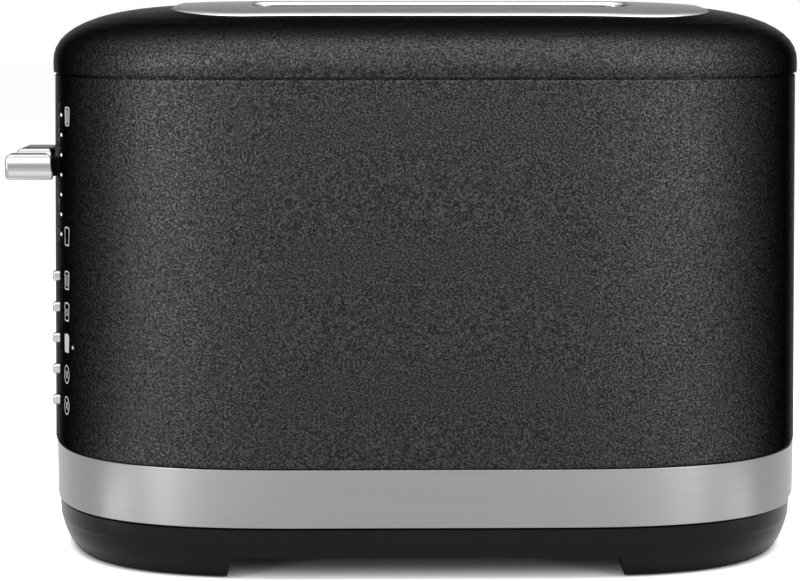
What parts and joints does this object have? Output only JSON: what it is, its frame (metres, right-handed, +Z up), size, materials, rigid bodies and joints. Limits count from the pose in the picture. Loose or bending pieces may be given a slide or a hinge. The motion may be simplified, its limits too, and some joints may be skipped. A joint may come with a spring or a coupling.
{
  "type": "pop up toaster",
  "caption": "Long-bodied pop up toaster with two bread slots, a carriage lever, a shade slider, push buttons and a rear crumb tray.",
  "frame": {"origin": "Centre of the bounding box in plan, at table height.", "axes": "+Z up, the control end faces -X, the crumb tray comes out towards +X, and the long sides face -Y and +Y."},
  "size_m": [0.299, 0.1994, 0.2055],
  "materials": {
    "black_texture": "textured cast-iron black powder coat, satin",
    "brushed_band": "brushed stainless steel, lengthwise grain",
    "satin_plate": "satin stainless steel with bright rolled edges",
    "satin_knob": "satin chrome",
    "satin_button": "satin chrome",
    "black_plastic": "fine matt moulded plastic",
    "rubber_foot": "matt rubber",
    "zinc_steel": "zinc plated",
    "sheet_steel": "galvanised sheet",
    "guide_wire": "bright drawn wire",
    "mica": "pressed mica board",
    "heater_ribbon": "oxidised resistance ribbon",
    "circuit_board": "solder mask",
    "blue_plastic": "moulded relay case",
    "white_plastic": "moulded plastic",
    "dark_part_plastic": "moulded plastic",
    "magnet_iron": "laminated iron",
    "copper_coil": "enamelled copper winding",
    "bush_brass": "turned brass"
  },
  "bodies": {
    "housing": {"base_pan": "black_plastic", "rubber_feet": "rubber_foot", "base_screws": "zinc_steel", "steel_band": "brushed_band", "body_shell": "black_texture", "top_cover": "black_texture", "slot_bezel": "satin_plate", "front_chassis": "sheet_steel", "rear_chassis": "sheet_steel", "reflector_left": "sheet_steel", "reflector_right": "sheet_steel", "heater_board_left": "mica", "heater_board_center": "mica", "heater_board_right": "mica", "heater_ribbon_left": "heater_ribbon", "heater_ribbon_center": "heater_ribbon", "heater_ribbon_right": "heater_ribbon", "guide_rod": "zinc_steel", "mains_board": "circuit_board", "relay": "blue_plastic", "terminal_block": "white_plastic", "magnet_core": "magnet_iron", "magnet_coil": "copper_coil", "control_board": "circuit_board", "board_bracket": "black_plastic", "shade_potentiometer": "dark_part_plastic", "button_switches": "dark_part_plastic", "button_guide": "white_plastic", "cord_gland": "black_plastic", "lift_spring": "zinc_steel"},
    "carriage": {"carriage_plate": "sheet_steel", "carriage_bush": "bush_brass", "bread_rack_left": "sheet_steel", "bread_rack_right": "sheet_steel", "lever_arm": "sheet_steel", "lever_knob": "satin_knob", "armature": "magnet_iron"},
    "shade_slider": {"shade_stem": "black_plastic", "shade_knob": "satin_knob"},
    "tray": {"crumb_tray": "sheet_steel", "tray_handle_panel": "brushed_band"},
    "guide_1": {"bread_guide_1": "guide_wire"},
    "guide_2": {"bread_guide_2": "guide_wire"},
    "guide_3": {"bread_guide_3": "guide_wire"},
    "guide_4": {"bread_guide_4": "guide_wire"},
    "push_button_1": {"button_1": "satin_button"},
    "push_button_2": {"button_2": "satin_button"},
    "push_button_3": {"button_3": "satin_button"},
    "push_button_4": {"button_4": "satin_button"},
    "push_button_5": {"button_5": "satin_button"}
  },
  "joints": [
    {"name": "carriage_slide", "type": "slide", "parent": "housing", "child": "carriage", "axis": [0, 0, 1], "range_m": [-0.075, 0.019], "stiffness_N_per_m": 100, "springref_m": 0.0112, "deforming": ["lift_spring"]},
    {"name": "shade_slide", "type": "slide", "parent": "housing", "child": "shade_slider", "axis": [0, 0, 1], "range_m": [-0.0247, 0.0191]},
    {"name": "crumb_tray_slide", "type": "slide", "parent": "housing", "child": "tray", "axis": [1, 0, 0], "range_m": [0, 0.19]},
    {"name": "guide_1_lean", "type": "hinge", "parent": "housing", "child": "guide_1", "pos_m": [0.00715, -0.0485, 0.044], "axis": [1, 0, 0], "range_deg": [-5, 1.3]},
    {"name": "guide_2_lean", "type": "hinge", "parent": "housing", "child": "guide_2", "pos_m": [0.00715, -0.0145, 0.044], "axis": [1, 0, 0], "range_deg": [-1.3, 5]},
    {"name": "guide_3_lean", "type": "hinge", "parent": "housing", "child": "guide_3", "pos_m": [0.00715, 0.0145, 0.044], "axis": [1, 0, 0], "range_deg": [-5, 1.3]},
    {"name": "guide_4_lean", "type": "hinge", "parent": "housing", "child": "guide_4", "pos_m": [0.00715, 0.0485, 0.044], "axis": [1, 0, 0], "range_deg": [-1.3, 5]},
    {"name": "button_1_press", "type": "slide", "parent": "housing", "child": "push_button_1", "axis": [1, 0, 0], "range_m": [0, 0.0015], "stiffness_N_per_m": 500, "springref_m": -0.0006},
    {"name": "button_2_press", "type": "slide", "parent": "housing", "child": "push_button_2", "axis": [1, 0, 0], "range_m": [0, 0.0015], "stiffness_N_per_m": 500, "springref_m": -0.0006},
    {"name": "button_3_press", "type": "slide", "parent": "housing", "child": "push_button_3", "axis": [1, 0, 0], "range_m": [0, 0.0015], "stiffness_N_per_m": 500, "springref_m": -0.0006},
    {"name": "button_4_press", "type": "slide", "parent": "housing", "child": "push_button_4", "axis": [1, 0, 0], "range_m": [0, 0.0015], "stiffness_N_per_m": 500, "springref_m": -0.0006},
    {"name": "button_5_press", "type": "slide", "parent": "housing", "child": "push_button_5", "axis": [1, 0, 0], "range_m": [0, 0.0015], "stiffness_N_per_m": 500, "springref_m": -0.0006}
  ],
  "couplings": [
    {"joint": "guide_1_lean", "follows": "carriage_slide", "rad_per_m": 1.1333},
    {"joint": "guide_2_lean", "follows": "carriage_slide", "rad_per_m": -1.1333},
    {"joint": "guide_3_lean", "follows": "carriage_slide", "rad_per_m": 1.1333},
    {"joint": "guide_4_lean", "follows": "carriage_slide", "rad_per_m": -1.1333}
  ]
}
